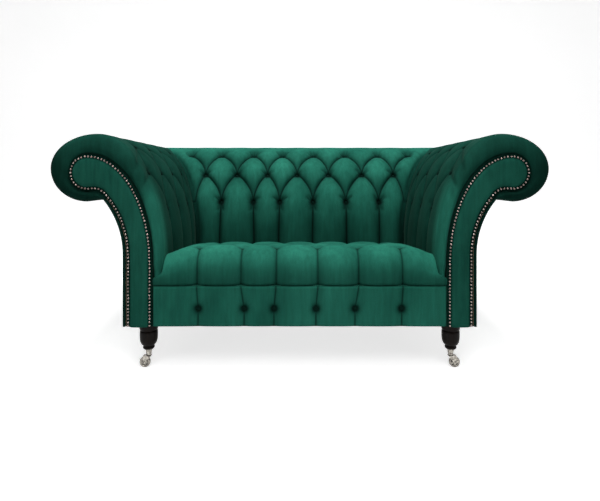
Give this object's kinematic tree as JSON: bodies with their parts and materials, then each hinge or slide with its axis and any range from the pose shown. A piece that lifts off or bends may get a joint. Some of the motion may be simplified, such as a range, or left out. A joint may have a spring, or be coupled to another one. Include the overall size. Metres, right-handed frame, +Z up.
{
  "type": "chesterfield sofa",
  "caption": "Small sofa with deep-buttoned scroll arms and back of one height, a tufted seat, nail-trimmed facings, and turned front legs on castors.",
  "frame": {"origin": "on the floor, under the middle of the sofa's overall length and depth", "axes": "+Z up, +X to the right seen from the front, +Y to the rear; the seat opens towards -Y"},
  "size_m": [1.8, 0.962, 0.87],
  "materials": {
    "velvet": "matte",
    "button_velvet": "matte",
    "antique_nails": "satin",
    "leg_wood": "gloss",
    "castor_metal": "polished",
    "frame_wood": "matte",
    "hessian": "matte",
    "felt": "matte",
    "spring_steel": "satin",
    "bolt_steel": "satin",
    "black_cloth": "matte"
  },
  "bodies": {
    "sofa": {"front_rail": "frame_wood", "rear_rail": "frame_wood", "side_rail_left": "frame_wood", "side_rail_right": "frame_wood", "centre_rail": "frame_wood", "corner_blocks": "frame_wood", "arm_boards_left": "frame_wood", "arm_boards_right": "frame_wood", "back_boards": "frame_wood", "arm_top_rail_left": "frame_wood", "arm_top_rail_right": "frame_wood", "back_top_rail": "frame_wood", "arm_tack_rail_left": "frame_wood", "arm_tack_rail_right": "frame_wood", "back_tack_rail": "frame_wood", "arm_hessian_left": "hessian", "arm_hessian_right": "hessian", "back_hessian": "hessian", "zigzag_springs": "spring_steel", "spring_clips": "spring_steel", "seat_deck": "felt", "seat_pad": "velvet", "front_border": "velvet", "arm_pad_left": "velvet", "arm_pad_right": "velvet", "back_pad": "velvet", "outer_arm_panel_left": "velvet", "outer_arm_panel_right": "velvet", "outer_back_panel": "velvet", "arm_facing_left": "velvet", "arm_facing_right": "velvet", "back_buttons": "button_velvet", "arm_buttons_left": "button_velvet", "arm_buttons_right": "button_velvet", "seat_buttons": "button_velvet", "border_buttons": "button_velvet", "nail_trim_left": "antique_nails", "nail_trim_right": "antique_nails", "dust_cover": "black_cloth", "leg_bolts": "bolt_steel", "front_leg_left": "leg_wood", "front_leg_right": "leg_wood", "rear_leg_left": "leg_wood", "rear_leg_right": "leg_wood", "castor_cup_left": "castor_metal", "castor_cup_right": "castor_metal"},
    "swivel_left": {"castor_horn_left": "castor_metal", "castor_axle_left": "castor_metal"},
    "wheel_left": {"castor_wheel_left": "castor_metal"},
    "swivel_right": {"castor_horn_right": "castor_metal", "castor_axle_right": "castor_metal"},
    "wheel_right": {"castor_wheel_right": "castor_metal"}
  },
  "joints": [
    {"name": "castor_swivel_left", "type": "hinge", "parent": "sofa", "child": "swivel_left", "pos_m": [-0.565, -0.419, 0.044], "axis": [0, 0, 1], "continuous": true},
    {"name": "castor_roll_left", "type": "hinge", "parent": "swivel_left", "child": "wheel_left", "pos_m": [-0.579, -0.419, 0.02], "axis": [0, 1, 0], "continuous": true},
    {"name": "castor_swivel_right", "type": "hinge", "parent": "sofa", "child": "swivel_right", "pos_m": [0.565, -0.419, 0.044], "axis": [0, 0, 1], "continuous": true},
    {"name": "castor_roll_right", "type": "hinge", "parent": "swivel_right", "child": "wheel_right", "pos_m": [0.579, -0.419, 0.02], "axis": [0, 1, 0], "continuous": true}
  ]
}
